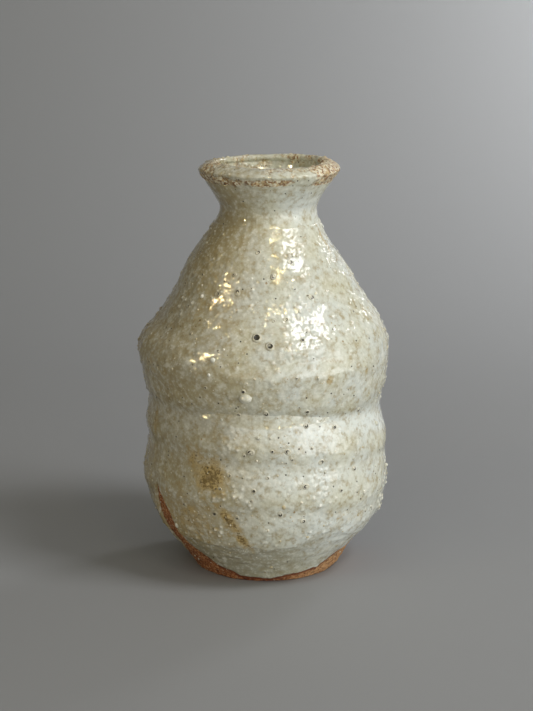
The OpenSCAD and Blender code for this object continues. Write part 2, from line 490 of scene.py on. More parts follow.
def facing(s, angle):
    """The outward direction at a place on the form: the step round it crossed with the step along it."""
    step_mm, step_angle = 0.25, 0.006
    up = thrown(s + step_mm, angle) - thrown(s - step_mm, angle)
    round_it = thrown(s, angle + step_angle) - thrown(s, angle - step_angle)
    out = np.cross(round_it, up)
    return out / np.maximum(np.linalg.norm(out, axis=-1, keepdims=True), 1e-9)


# %% [markdown]
# ## Where the glaze stops
# The flask was held by the foot and dipped, and the glaze stopped where the fingers were and where it
# ran thin. Its edge keeps close to the foot at the front, climbs in a long bare finger at the left, and
# in a lower one at the right. Clay could be painted below a line on one mesh, but a real coat has an
# edge that catches the light, so the glaze's own mesh ends there.

# %% The glaze's lower edge
# Each row: angle in degrees, with the front at -90, and the height of the edge in mm.
edge_line = np.array([
    (-180, 5), (-172, 4), (-165, 4), (-160, 8), (-157, 20), (-154, 31), (-152, 33.7), (-149, 28.5),
    (-145, 23.5), (-142.5, 17.5), (-140, 12), (-136, 10), (-128, 6.8), (-124, 4.4), (-116, 3.3),
    (-110, 1.9), (-102, 1.3), (-85, 1.1), (-72, 2.4), (-52, 3.8), (-41, 6.8), (-32.5, 8.8), (-23.5, 16.0),
    (-14, 18.5), (-4, 17), (8, 12), (20, 8.5), (34, 6.5), (60, 5.0), (90, 4.6), (120, 5.2), (150, 5.6),
    (180, 5),
])
EDGE_CIRCLE = 30             # radius of the circle on which the wandering of the edge is read


def edge_height(angle):
    """Height of the glaze's lower edge, wandering by a few tenths of a millimetre."""
    degrees = np.degrees((angle + math.pi) % (2 * math.pi)) - 180
    around = EDGE_CIRCLE * np.stack([np.cos(angle), np.sin(angle), np.zeros_like(angle)], -1)
    height = np.interp(degrees, edge_line[:, 0], edge_line[:, 1])
    return height + 0.35 * noise(around, 3.2, 21) + 0.2 * noise(around, 1.4, 22)


body_top = place_at(neck_z - 3.4)
print("the body's glaze runs from", round(float(place_at(2)), 1), "to", round(float(body_top), 1))

# %% [markdown]
# ## The lumpy skin
# The clay is full of feldspar stones. Where one lies near the surface, the glaze humps over it. The neck
# was wiped smooth before glazing, so only the wall, the cone and the lip are lumpy. The lumps are in
# the mesh down to about a millimetre, and the bump of the material goes on from there.


# %% Relief of the glaze
# Each row: height in mm, and how lumpy the skin is there.
lumpiness = np.array([
    (0, 0.5), (12, 0.7), (16, 1.3), (22, 1.5), (30, 1.1), (62, 0.8), (77, 1.0), (92, 1.1),
    (neck_z - 8, 0.9), (neck_z - 4, 0.6), (neck_z - 2, 0.12), (neck_z + 8, 0.12), (neck_z + 11, 1.0),
    (lip_top, 0.9),
])
SUNK = 0.08                  # how far the hidden side of a coat sinks into the clay
LOW_WIDTH = 1.2              # length over which a coat's lower edge rounds off
HIGH_WIDTH = 1.0             # and its upper edge
CROWDING = 0.88 / (2 * math.pi)     # how much closer rows lie at the edges of a coat
BEVEL_TOP = 15.2             # height where the turned bevel ends


def rough_share(height):
    """How lumpy the skin is at a height: the bevel and the neck are smooth, the lowest ring is roughest."""
    return np.interp(height, lumpiness[:, 0], lumpiness[:, 1])


def bevel_share(points, angle):
    """1 on the turned bevel and 0 above it. The border is ragged, and climbs at the front right."""
    climb = 5.0 * np.exp(-((np.degrees(angle) + 56) / 13) ** 2)
    ragged = 0.9 * noise(points, 4.5, 56) + 0.5 * noise(points, 1.8, 57)
    return ramp(points[..., 2] - BEVEL_TOP - climb - ragged, 0.5, -0.5)


def skin_relief(points, angle):
    """How far the glaze stands above the form, in mm: broad soft lumps, granules that come in drifts, a
    knobbly lower edge on the lip. Also returns the granules alone, from 0 to 1, which are paler."""
    height = points[..., 2]
    bevel = bevel_share(points, angle)
    calm = (1 - 0.5 * ramp(groove_depth(angle, height), 0.3, 1.2)) * (1 - 0.65 * bevel)
    share = rough_share(height) * calm
    drift = ramp(noise(points, 9, 54), -0.7, 0.5)
    large = pebbles(points, 4.2, 2.1, 0.5, 31)
    small = pebbles(points, 1.7, 0.85, 0.55, 41) * drift
    soft = 0.20 * noise(points, 6.5, 51) + 0.10 * noise(points, 2.6, 52)
    drag = 0.20 * noise(points * (0.2, 0.2, 1), 1.2, 53) * bevel - 0.32 * bevel
    knobs = 0.45 * noise(points, 2.3, 55) * np.exp(-((height - lip_z + 2.2) / 1.6) ** 2)
    relief = share * (0.28 * large + 0.56 * small) + (0.3 + 0.7 * share) * soft + drag + knobs
    return relief, np.maximum(0.4 * large, small) * np.minimum(share, 1.1)


def coat_points(s, angle, low_s, high_s, high_width=HIGH_WIDTH):
    """The outer face of a coat that starts at low_s and ends at high_s: it stands on the clay at both
    edges and rises to its full thickness over the widths, as a quarter circle does. Granules too."""
    form, out = thrown(s, angle), facing(s, angle)
    relief, lumps = skin_relief(form, angle)
    rise = 1 - np.clip((s - low_s) / LOW_WIDTH, 0, 1)
    fall = 1 - np.clip((high_s - s) / high_width, 0, 1)
    full = np.sqrt(np.clip(1 - rise**2, 0, 1)) * np.sqrt(np.clip(1 - fall**2, 0, 1))
    lift = (GLAZE + relief) * full - GLAZE - SUNK * (1 - full)
    return form + out * lift[..., None], lumps


def coat_mesh(low_s, high_s, columns, rows, hidden, band=(0, 1), high_width=HIGH_WIDTH):
    """A closed stretch of a coat: rows up its outer face, then hidden rows back down the clay under it.
    low_s gives the start of each column, and band is the share of the coat that the stretch covers. Rows
    lie closer together at the coat's two edges. Returns points, faces and granules."""
    angle = np.linspace(-math.pi, math.pi, columns, endpoint=False)[None, :]
    low = low_s(angle)
    share = np.linspace(*band, rows)[:, None]
    share = share - CROWDING * np.sin(2 * math.pi * share) * (0.5 - np.abs(share - 0.5))
    s = low + (high_s - low) * share
    front, lumps = coat_points(s, angle, low, high_s, high_width)
    back_share = np.linspace(share[-1, 0], share[0, 0], hidden)[:, None]
    back_s = low + (high_s - low) * back_share
    back = thrown(back_s, angle) - facing(back_s, angle) * (GLAZE + SUNK)
    points = np.concatenate([front, back])
    lumps = np.concatenate([lumps, np.zeros(back.shape[:2])])
    return points, [grid_faces(rows + hidden, columns, closed_rows=True)], lumps


def sharpen_row(piece, row, columns):
    """Marks the edges along one row as sharp, so that the smooth shading stops there: a coat is made in
    two stretches, and the wall between them must not bend the light on their outer faces."""
    mesh = piece.data
    ends = np.empty(2 * len(mesh.edges), np.int32)
    mesh.edges.foreach_get("vertices", ends)
    along_row = (ends.reshape(-1, 2) // columns == row).all(axis=1)
    layer = mesh.attributes.new("sharp_edge", "BOOLEAN", "EDGE")
    layer.data.foreach_set("value", along_row)


# %% [markdown]
# ## Colour by place
# Where the coat is thin or the clay's iron bled through, the glaze is ochre and matt. Where it pooled it
# is pale and bluish, and the wide pale spots low on the front and right are also painted light, where the
# wall at the right lights the flask. The turned bevel is grey, painted darker on its front and left, away
# from the lights, so it is partly painted shade. These zones belong to places on the flask, so each is a
# number on every point of the mesh, made from soft spots, and the material reads the numbers and breaks
# them up with noise.


# %% Zones
def spot(points, degrees, height, wide, tall, slant=0.0):
    """A soft patch on the wall, its middle at an angle and a height, its width and tallness in mm. slant
    moves it sideways in mm for each mm of height."""
    x, y, z = np.moveaxis(points, -1, 0)
    up = z - height
    across = turned_from(np.arctan2(y, x), degrees) * np.hypot(x, y) - slant * up
    return soft_patch(across, up, wide, tall)


# Each spot: strength, angle in degrees, height, width and tallness, and for some a slant.
ochre_spots = [
    (1.0, -117, 40.5, 11, 11), (0.7, -125, 46, 8, 8), (0.95, -108, 26, 4.5, 11, -0.6),
    (0.95, -102, 18.5, 3.6, 7, -0.6), (0.55, -132, 25, 28, 20), (0.4, -52, 26, 6, 4), (0.4, -40, 24, 5, 3),
    (0.35, -33, 35, 5, 5), (0.7, -23.6, 115, 1.6, 9), (0.6, -155, 54, 2.5, 8), (0.6, -61, 73, 2.5, 3),
    (0.6, -38, 73.4, 1.6, 1.6), (0.5, -85, 113, 1.4, 2), (0.4, -152, 74, 8, 9), (0.3, -120, 105, 6, 9),
    (0.3, -133, 94, 8, 11), (0.6, 60, 48, 12, 14), (0.6, 75, 30, 5, 12, 0.5), (0.6, 150, 82, 9, 12),
    (0.5, 120, 26, 14, 8), (0.5, 20, 98, 6, 9),
]
# Pale spots where the glaze pooled. The wide ones on the front and right of the belly and foot are also
# painted light, paler where the wall at the right lights the flask.
pooled_and_painted_light_spots = [
    (0.8, -97, 37.5, 12, 7), (0.6, -40, 124, 20, 12), (1.0, -50, 19, 36, 17), (0.7, -78, 25, 44, 12),
    (0.9, -75, 40, 44, 11), (0.5, -45, 40, 30, 16), (0.5, -60, 86, 30, 16),
]


def glaze_zones(points):
    """The numbers for the glaze's material, each from 0 to 1: ochre; pale glaze where it gathered, with
    painted light low on the front and right; olive; and the bevel's grey, with painted shade on its front
    and left.
    """
    ochre, pooled_and_painted_light = np.zeros((2, *points.shape[:-1]))
    angle = np.arctan2(points[..., 1], points[..., 0])
    for strength, *place in ochre_spots:
        ochre = np.maximum(ochre, strength * spot(points, *place))
    for strength, *place in pooled_and_painted_light_spots:
        pooled_and_painted_light = np.maximum(pooled_and_painted_light, strength * spot(points, *place))
    pooled_and_painted_light = np.maximum(pooled_and_painted_light, ramp(groove_depth(angle, points[..., 2]), 0.5, 1.6))
    olive = ramp(-np.cos(angle - math.radians(20)), 0.15, 0.95) * (0.75 + 0.25 * noise(points, 14, 61))
    # The bevel's own grey, laid strongest on the front and left, away from the lights, so it is partly
    # painted shade; on the lit right only a little of it is laid on.
    bevel = bevel_share(points, angle) * (0.15 + 0.85 * ramp(np.degrees(angle), -52, -84))
    return {"ochre": ochre, "pooled_and_painted_light": pooled_and_painted_light, "olive": np.clip(olive, 0, 1), "bevel": bevel}


# %% [markdown]
# ## The glaze as a material
# A feldspar glaze is milky glass full of fine bubbles and half-melted grains. Its gloss is high, and the
# lumps break every reflection into patches. The colour is a grey cream, clouded with tan at 5 and 2 mm.
# The tops of the granules are pale, iron shows as brown freckles, and pin holes as black dots. A painted
# map would need unwrapping and would blur close up, so the patterns are noises of the real sizes.

# %% Feldspar glaze: patterns
GLASS_IOR = 1.52             # a glaze is a glass
glaze, tree = new_material("thick_feldspar_glaze_dipped")
here = add(tree, "TexCoord", out=3)
# Zone numbers read from the mesh: one is pooled glaze together with painted light, and the bevel's grey also
# holds painted shade.
ochre, pooled_and_painted_light, olive, bevel, lumps, rusty = (
    add(tree, "Attribute", attribute_name=zone, out=2)
    for zone in ("ochre", "pooled_and_painted_light", "olive", "bevel", "lumps", "rusty"))

broad = add(tree, "TexNoise", {"Vector": here, "Scale": per_mm(12), "Detail": 2.0})
clouds = add(tree, "TexNoise", {"Vector": here, "Scale": per_mm(5), "Detail": 3.0, "Roughness": 0.6})
mottle = add(tree, "TexNoise", {"Vector": here, "Scale": per_mm(2.2), "Detail": 4.0, "Roughness": 0.65})
fine = add(tree, "TexNoise", {"Vector": here, "Scale": per_mm(0.9), "Detail": 3.0, "Roughness": 0.65})
dots = add(tree, "TexVoronoi", {"Vector": here, "Scale": per_mm(2.3), "Randomness": 1.0})
dot_kind = dots.node.outputs["Color"]
freckle = add(tree, "Math", {0: dot_kind, 1: dots}, operation="SUBTRACT")
grain = add(tree, "TexVoronoi", {"Vector": here, "Scale": per_mm(1.5), "Randomness": 1.0})
grain_kind = add(tree, "TexVoronoi", {"Vector": here, "Scale": per_mm(0.65), "Randomness": 1.0}, out=1)
pin_holes = add(tree, "TexVoronoi", {"Vector": here, "Scale": per_mm(3.6), "Randomness": 1.0})
hole = add(tree, "MapRange", {"Value": pin_holes, "From Min": 0.085, "From Max": 0.06})
patch = add(tree, "Math", {0: ochre, 1: mottle}, operation="ADD")
patch_share = add(tree, "MapRange", {"Value": patch, "From Min": 0.72, "From Max": 1.3, "To Max": 0.8})
burnt = add(tree, "Math", {0: fine, 1: 2.2, 2: ochre}, operation="MULTIPLY_ADD")
rust_edge = add(tree, "Math", {0: rusty, 1: mottle}, operation="ADD")
rust_share = add(tree, "MapRange", {"Value": rust_edge, "From Min": 0.85, "From Max": 1.15, "To Max": 0.85})

# %% Feldspar glaze: colours
# From the broad clouds down to the smallest dots, each colour over the ones before it.
tint = paint(
    tree, colour("#C9CDC4"),
    (broad, 0.38, 0.62, 1.0, "#C6C5AF"),
    # pale where the glaze pooled, and painted light on the lower front and right
    (pooled_and_painted_light, 0.0, 1.0, 0.85, "#DCE2DD"),
    (clouds, 0.50, 0.66, 0.45, "#AFA687"),
    (mottle, 0.50, 0.66, 0.62, "#9A8960"),
    (olive, 0.0, 1.0, 0.76, "#988450"),
    # grey of the turned bevel, partly painted shade on its front and left
    (bevel, 0.0, 1.0, 0.64, "#8F8B75"),
    (mottle, 0.47, 0.34, 0.50, "#E0E0D4"),
    (grain, 0.36, 0.12, 0.30, "#E8E6DA"),
    (lumps, 0.20, 0.75, 0.60, "#EFEDE2"),
    (freckle, 0.70, 0.82, 0.75, "#8E7038"),
    (patch, 0.72, 1.25, 0.80, "#B09557"),
    (burnt, 1.80, 2.05, 0.75, "#5C4717"))
rust_grains = paint(
    tree, colour("#E2DBC2"),
    (grain_kind, 0.38, 0.42, 0.8, "#B9965A"),
    (grain_kind, 0.60, 0.66, 0.95, "#86592A"))
tint = add(tree, "Mix", {"Factor": rust_share, "A": tint, "B": rust_grains}, data_type="RGBA")
tint = paint(tree, tint, (hole, 0.0, 1.0, 1.0, "#3F3B33"))

# %% Feldspar glaze: gloss and bumps
MATT = 0.45                  # roughness where iron has broken through
gloss = add(tree, "MapRange",
            {"Value": mottle, "From Min": 0.35, "From Max": 0.7, "To Min": 0.03, "To Max": 0.13})
gloss = add(tree, "Mix", {"Factor": patch_share, "A": gloss, "B": MATT}, data_type="FLOAT")
gloss = add(tree, "Mix", {"Factor": rust_share, "A": gloss, "B": MATT}, data_type="FLOAT")

orange_peel = add(tree, "TexNoise", {"Vector": here, "Scale": per_mm(2.4), "Detail": 1.0})
dimple = add(tree, "Bump", {"Height": hole, "Distance": 0.25 * MM}, invert=True)
peel = add(tree, "Bump", {"Height": orange_peel, "Distance": 0.15 * MM, "Normal": dimple})
beady = add(tree, "Bump", {"Height": grain, "Distance": 0.09 * MM, "Normal": peel}, invert=True)
sandy = add(tree, "Bump", {"Height": fine, "Distance": 0.05 * MM, "Normal": beady})
crusty = add(tree, "Math", {0: rust_share, 1: grain}, operation="MULTIPLY")
crust = add(tree, "Bump", {"Height": crusty, "Distance": 0.5 * MM, "Normal": sandy}, invert=True)
shader = add(tree, "BsdfPrincipled",
             {"Base Color": tint, "Roughness": gloss, "IOR": GLASS_IOR, "Normal": crust})
add(tree, "OutputMaterial", {"Surface": shader})
print("thick_feldspar_glaze_dipped:", len(tree.nodes), "nodes")

# %% Outer glaze
COLUMNS, LOWER_ROWS, UPPER_ROWS, HIDDEN_ROWS = 560, 152, 156, 8
JOIN = 0.46                  # the share of the coat at which the lower stretch meets the upper one


def body_low(angle):
    """The place on the line where the glaze starts."""
    return place_at(edge_height(angle))


for name, band, rows, join_row in (("lower", (0, JOIN), LOWER_ROWS, LOWER_ROWS - 1),
                                   ("upper", (JOIN, 1), UPPER_ROWS, 0)):
    points, faces, granules = coat_mesh(body_low, body_top, COLUMNS, rows, HIDDEN_ROWS, band)
    stretch = new_piece(f"outer_glaze_{name}", points, faces, "feldspar_glaze", "outer_glaze", glaze,
                        lumps=granules, rusty=np.zeros_like(granules), **glaze_zones(points))
    sharpen_row(stretch, join_row, COLUMNS)

# %% [markdown]
# ## Neck and lip
# The neck was dipped first, mouth down, and the body's coat ends over it in a thin step. The neck is
# smooth. The lip is a fat roll where the glaze ran off and the iron burned through, so its right side
# and its lower edge are grainy and rust brown, while its left end stayed smooth and olive. The coat could
# simply run on from the body, but then the step where one dip laps the other would be lost.


# %% Rust on the lip
def rust_on_lip(points):
    """How far rust shows, from 0 to 1: all of the lip's right side, a line under its left side, and
    patches on the far side, on the roll only."""
    degrees = np.degrees(np.arctan2(points[..., 1], points[..., 0]))
    height = points[..., 2]
    right = ramp(degrees, -66, -34) * ramp(degrees, 40, 8)
    under = np.exp(-((height - (lip_z - 1.9)) / 1.7) ** 2) * ramp(degrees, -58, -76)
    far_side = 0.32 * ramp(degrees, 45, 70) + 0.24 * ramp(degrees, -62, -70)
    patches = 0.35 * noise(points, 5, 71)
    everywhere = 0.36 * ramp(height, lip_z - 1.5, lip_z)
    on_roll = ramp(height, lip_z - 4.4, lip_z - 3.2)
    return np.clip(np.maximum.reduce([right, under, far_side, everywhere]) + patches, 0, 1) * on_roll


# %% Neck and lip glaze
COLUMNS_NECK, ROWS_NECK, HIDDEN_NECK = 320, 160, 12
THIN_OUT = 4.5               # length over which the coat thins out in the mouth
TUCK = 0.3                   # how far its lower end is drawn in, so that the body's coat lies over it
meet = along[crest] + math.pi / 4 * LIP + 4.2        # where the outer coat meets the lining, in the mouth
neck_start = float(place_at(neck_z - 9))


def neck_low(angle):
    """The place on the line where the neck's coat starts, the same all the way round."""
    return np.full_like(angle, neck_start)


points, faces, granules = coat_mesh(neck_low, meet, COLUMNS_NECK, ROWS_NECK, HIDDEN_NECK,
                                    high_width=THIN_OUT)
tuck = TUCK * ramp(points[..., 2], neck_z + 1.5, neck_z - 3)
level = points * (1, 1, 0)
points = points - level / np.maximum(np.linalg.norm(level, axis=-1, keepdims=True), 1) * tuck[..., None]
new_piece("outer_glaze_neck", points, faces, "feldspar_glaze", "outer_glaze", glaze, lumps=granules,
          rusty=rust_on_lip(points), **glaze_zones(points))

# %% [markdown]
# ## The lining
# Glaze was poured in, swirled and poured out, so the inside is smooth, and only its funnel shows. It
# closes in a point in the middle of the floor, and its hidden back lies on the clay. The clay could be
# painted as glaze there, but a lining of its own can be taken out, looked at and changed.

# %% Lining glaze material
# Poured and drained glaze is thinner and smoother than dipped: pale, soft in its gloss, lightly specked.
lining, tree = new_material("poured_feldspar_glaze_lining")
here = add(tree, "TexCoord", out=3)
broad = add(tree, "TexNoise", {"Vector": here, "Scale": per_mm(7), "Detail": 2.0})
specks = add(tree, "TexNoise", {"Vector": here, "Scale": per_mm(1.2), "Detail": 2.0, "Roughness": 0.55})
rusty = add(tree, "Attribute", attribute_name="rusty", out=2)
rust_edge = add(tree, "Math", {0: rusty, 1: specks}, operation="ADD")
tint = paint(
    tree, colour("#F2F2E4"),
    (broad, 0.0, 1.0, 1.0, "#E8EBDC"),
    (specks, 0.66, 0.74, 0.5, "#A88A58"),
    (rust_edge, 1.05, 1.3, 0.6, "#A8763F"))
gloss = add(tree, "MapRange", {"Value": broad, "To Min": 0.12, "To Max": 0.24})
waves = add(tree, "Bump", {"Height": broad, "Distance": 0.5 * MM, "Strength": 0.3})
grit = add(tree, "Bump", {"Height": specks, "Distance": 0.06 * MM, "Strength": 0.5, "Normal": waves})
shader = add(tree, "BsdfPrincipled",
             {"Base Color": tint, "Roughness": gloss, "IOR": GLASS_IOR, "Normal": grit})
add(tree, "OutputMaterial", {"Surface": shader})

# %% Lining
COLUMNS_IN, ROWS_IN, ROWS_BACK = 220, 130, 24
CROWDED = 1.6                # power that draws the rows together near the mouth
LINING_SUNK = 0.05           # how far the lining's back sinks into the clay
angle = np.linspace(-math.pi, math.pi, COLUMNS_IN, endpoint=False)[None, :]
floor_s = along[-1] - 0.6    # the last row, just short of the middle of the floor
under_coat = meet - 3.0      # the lining starts under the outer coat's edge
share = np.linspace(0, 1, ROWS_IN)[:, None]
front_s = under_coat + (floor_s - under_coat) * share**CROWDED
back_s = np.linspace(floor_s, under_coat, ROWS_BACK)[:, None]
swirl = 0.12 * noise(thrown(front_s, angle), 6, 81) - 0.18 * ramp(front_s, meet - 0.5, meet - 2.0)
front = thrown(front_s, angle) + facing(front_s, angle) * swirl[..., None]
back = thrown(back_s, angle) - facing(back_s, angle) * (GLAZE + LINING_SUNK)
floor_middle = thrown(along[-1], np.zeros(1))
grid = np.concatenate([back, front]).reshape(-1, 3)
points = np.vstack([grid, floor_middle - (0, 0, GLAZE), floor_middle])
rows = ROWS_BACK + ROWS_IN
faces = [grid_faces(rows, COLUMNS_IN), pole_faces(rows, COLUMNS_IN)]
rim_rust = ramp(points[:, 2], neck_z + 9, lip_z) * (0.5 + 0.3 * noise(points, 4, 82))
new_piece("inner_glaze_lining", points, faces, "glaze_lining", "inner_glaze", lining, rusty=rim_rust)

# %% [markdown]
# ## The bare clay
# Only the foot, the bare fingers and the underside show clay. It is coarse and sandy, because the wall
# was turned with a tool that dragged the grit. The base was cut from the wheel with a twisted cord, which
# leaves arcs like a shell's. Under the glaze the clay runs on as a plain wall. Sand that fine could be a
# bump alone, but the foot's edge would then stay a perfect line, so the coarse part is in the mesh.

# %% Red clay material
# Bare stoneware is dull all over, rust red with burnt patches, and darkest where glaze begins. It is
# paler buff on the front right, where the lights fall, so that buff is partly painted light.
CLAY_IOR = 1.45
clay, tree = new_material("sandy_red_stoneware_unglazed")
here = add(tree, "TexCoord", out=3)
near_glaze, buff = (add(tree, "Attribute", attribute_name=zone, out=2) for zone in ("near_glaze", "buff"))
burnt = add(tree, "TexNoise", {"Vector": here, "Scale": per_mm(9), "Detail": 3.0, "Roughness": 0.6})
sand = add(tree, "TexNoise", {"Vector": here, "Scale": per_mm(0.9), "Detail": 3.0, "Roughness": 0.65})
stones = add(tree, "TexVoronoi", {"Vector": here, "Scale": per_mm(1.3), "Randomness": 1.0})
tint = paint(
    tree, colour("#8A4720"),
    (burnt, 0.35, 0.65, 1.0, "#A8683A"),
    # buff clay, laid on the front right where the light falls: partly painted light
    (buff, 0.0, 1.0, 0.8, "#C9A374"),
    (sand, 0.50, 0.62, 0.7, "#CE9F70"),
    (sand, 0.48, 0.38, 0.75, "#54290F"),
    (stones, 0.16, 0.10, 0.8, "#DDD0B6"),
    (near_glaze, 0.0, 1.0, 0.8, "#642711"))
dull = add(tree, "MapRange", {"Value": sand, "To Min": 0.72, "To Max": 0.95})
grit = add(tree, "Bump", {"Height": sand, "Distance": 0.7 * MM, "Strength": 0.9})
bumps = add(tree, "Bump", {"Height": stones, "Distance": 0.2 * MM, "Strength": 0.5, "Normal": grit},
            invert=True)
shader = add(tree, "BsdfPrincipled",
             {"Base Color": tint, "Roughness": dull, "IOR": CLAY_IOR, "Normal": bumps})
add(tree, "OutputMaterial", {"Surface": shader})

# %% Wall of the clay
# Rows lie close together where clay shows, above the foot, and where the wall turns over, at the lip.
# Each stretch: where it starts and ends on the line, and its rows.
COLUMNS_CLAY = 360
stretches = [
    (0, place_at(38), 84), (place_at(40), place_at(neck_z), 24),
    (place_at(neck_z) + 1, meet + 10, 46), (meet + 12, along[-1] - 1, 34),
]
angle = np.linspace(-math.pi, math.pi, COLUMNS_CLAY, endpoint=False)[None, :]
wall_s = np.concatenate([np.linspace(*stretch) for stretch in stretches])[:, None]
form, out = thrown(wall_s, angle), facing(wall_s, angle)
sandy = 0.16 * noise(form, 1.6, 91) + 0.12 * noise(form, 0.9, 92)
dragged = 0.16 * noise(form * (0.3, 0.3, 1), 0.9, 93)
bare = ramp(form[..., 2], 44, 38)
wall = form + out * (bare * (sandy + dragged) - GLAZE)[..., None]
wall[..., 2] = np.maximum(wall[..., 2], 0)
print("rows of clay:", len(wall))

# %% Base of the clay
# The underside is hollowed a little, and its arcs fade out towards the rim, which stands flat.
BASE_ROWS = 44
CORD_PITCH = 2.3             # distance from arc to arc of the cutting cord
base_share = np.linspace(0.02, 0.985, BASE_ROWS)[:, None]
base = wall[:1] * base_share[..., None]
cord = np.hypot(base[..., 0] - 1.3 * foot_r, base[..., 1] + 0.4 * foot_r)
arcs = 0.14 * (0.5 + 0.5 * np.sin(cord * 2 * math.pi / CORD_PITCH + 0.8 * noise(base, 5, 94)))
sunk = 0.5 * ramp(base_share, 0.93, 0.80)
base[..., 2] = sunk + ramp(base_share, 0.99, 0.9) * (arcs + 0.08 + 0.08 * noise(base, 1.3, 95))
grid = np.concatenate([base, wall]).reshape(-1, 3)
rows = len(base) + len(wall)
points = np.vstack([grid, [0, 0, base[0, :, 2].mean()], floor_middle - (0, 0, GLAZE)])
faces = [grid_faces(rows, COLUMNS_CLAY), pole_faces(rows, COLUMNS_CLAY)]
angle = np.arctan2(points[:, 1], points[:, 0])
below = edge_height(angle) - points[:, 2]
new_piece("clay_body_thrown", points, faces, "red_clay", "clay_body", clay,
          near_glaze=ramp(below, 1.3, 0.2) * ramp(points[:, 2], 0.2, 0.8),
          # paler buff on the front right, partly painted light
          buff=ramp(np.cos(angle + math.radians(20)), 0.35, 0.95) * (0.8 + 0.2 * noise(points, 6, 96)))

# %% [markdown]
# ## Feldspar grains
# Small white stones melt only at their skins. They stand out of the wall as rounded lumps with a coat of
# glaze drawn thin over them. Copies of one ball would all look alike, so each of the thousand and more is
# a ball of a few dozen faces squashed its own way, and all of them are worked out in one array.


# %% Balls
SQUASH = 0.28                # how far a ball may be stretched or squashed along each of its axes


def ball_grid(rings, columns):
    """Directions on a unit ball: rings of points between its poles, then the two poles. Faces too."""
    down = np.linspace(math.pi, 0, rings + 2)[1:-1, None]
    turn = np.linspace(0, 2 * math.pi, columns, endpoint=False)[None, :]
    x, y, z = np.sin(down) * np.cos(turn), np.sin(down) * np.sin(turn), np.cos(down) + 0 * turn
    directions = np.vstack([np.stack([x, y, z], -1).reshape(-1, 3), [[0, 0, -1], [0, 0, 1]]])
    return directions, [grid_faces(rings, columns), pole_faces(rings, columns)]


def sideways(outs):
    """Level unit directions at right angles to outs: outs crossed with straight up."""
    side = np.cross(outs, [0, 0, 1.0])
    return side / np.maximum(np.linalg.norm(side, axis=-1, keepdims=True), 1e-6)


def copies(parts, count, corners_each):
    """The faces of one shape for all its copies: each copy's corner numbers follow the last copy's."""
    step = np.arange(count)[:, None, None] * corners_each
    return [(part[None] + step).reshape(-1, part.shape[1]) for part in parts]


def balls(middles, outs, radii, rings, columns, flat, uneven, seed):
    """One lump at each middle: directions times the radius, squashed by flat along outs, with noise of
    strength uneven on every radius. Returns points and faces for all of them together."""
    directions, faces = ball_grid(rings, columns)
    side = sideways(outs)
    axes = np.stack([side, np.cross(outs, side), outs], 1)
    random = np.random.default_rng(seed)
    stretch = 1 + SQUASH * random.uniform(-1, 1, (len(middles), 1, 3))
    shape = directions[None] * stretch * (1, 1, flat)
    turned = np.einsum("nvk,nkc->nvc", shape, axes) * radii[:, None, None]
    rough = 1 + uneven * noise(turned * (1.6 / radii.mean()) + 7 * middles[:, None], 1.0, seed)
    points = middles[:, None] + turned * rough[..., None]
    return points, copies(faces, len(middles), len(directions))


# %% Places on the skin
def on_skin(angle, height):
    """Points on the glazed wall at angles and heights, and the directions that face away from it."""
    s = place_at(height)
    points, _ = coat_points(s, angle, body_low(angle), body_top)
    return points, facing(s, angle)


def with_scattered(random, shown, count, *spans):
    """The columns of the shown rows, each followed by count numbers drawn evenly from that column's span."""
    return [np.concatenate([column, random.uniform(*span, count)]) for column, span in zip(shown.T, spans)]


# %% Feldspar grain material
# A half-melted stone is milky white under a skin that shines in some places and is dull in others.
milky, tree = new_material("half_melted_feldspar_grain")
here = add(tree, "TexCoord", out=3)
whiteness = add(tree, "Attribute", attribute_name="whiteness", out=2)
cloud = add(tree, "TexNoise", {"Vector": here, "Scale": per_mm(1.4), "Detail": 3.0})
tint = paint(
    tree, colour("#BFB391"),
    (whiteness, 0.0, 1.0, 1.0, "#E9E7DB"),
    (cloud, 0.45, 0.7, 0.5, "#BDAF8A"))
gloss = add(tree, "MapRange", {"Value": cloud, "To Min": 0.10, "To Max": 0.35})
dents = add(tree, "Bump", {"Height": cloud, "Distance": 0.1 * MM})
shader = add(tree, "BsdfPrincipled",
             {"Base Color": tint, "Roughness": gloss, "IOR": GLASS_IOR, "Normal": dents})
add(tree, "OutputMaterial", {"Surface": shader})

# %% Feldspar grains
# Places are tried at random, and one is kept more often where the grains drift together, on the left
# and where the skin is lumpy. Most radii lie round GRAIN_R, none outside the two limits.
TRIES = 9000
GRAIN_R, GRAIN_SPREAD, GRAIN_LIMITS = 0.27, 0.40, (0.14, 0.85)
random = np.random.default_rng(5)
angle = random.uniform(-math.pi, math.pi, TRIES)
height = random.uniform(3, neck_z - 5, TRIES)
radius, _ = outline(place_at(height))
spread = np.stack([radius * np.cos(angle), radius * np.sin(angle), height], -1)
drifts = ramp(noise(spread, 11, 7), -0.6, 0.7)
left = ramp(-np.cos(angle - math.radians(25)), 0.0, 0.9)
chance = radius / belly_r * (0.04 + 0.20 * drifts + 0.14 * left) * (0.3 + 0.7 * rough_share(height))
keep = random.uniform(0, 1, TRIES) < chance
angle, height = angle[keep], height[keep]
size = np.clip(GRAIN_R * np.exp(GRAIN_SPREAD * random.standard_normal(len(angle))), *GRAIN_LIMITS)
clear = height > edge_height(angle) + 0.4
skin, out = on_skin(angle, height)
bare_skin = thrown(place_at(height), angle) - GLAZE * out
skin = np.where(clear[:, None], skin, bare_skin)
sunk = random.uniform(0.35, 0.85, len(angle)) * size
points, faces = balls(skin - out * sunk[:, None], out, size, rings=3, columns=7, flat=0.85, uneven=0.22,
                      seed=6)
white = np.repeat(random.uniform(0, 1, len(angle)) ** 1.5, points.shape[1])
new_piece("feldspar_grains_melted", points, faces, "feldspar_grain", "feldspar_grains", milky,
          whiteness=white)
print("feldspar grains:", len(size))

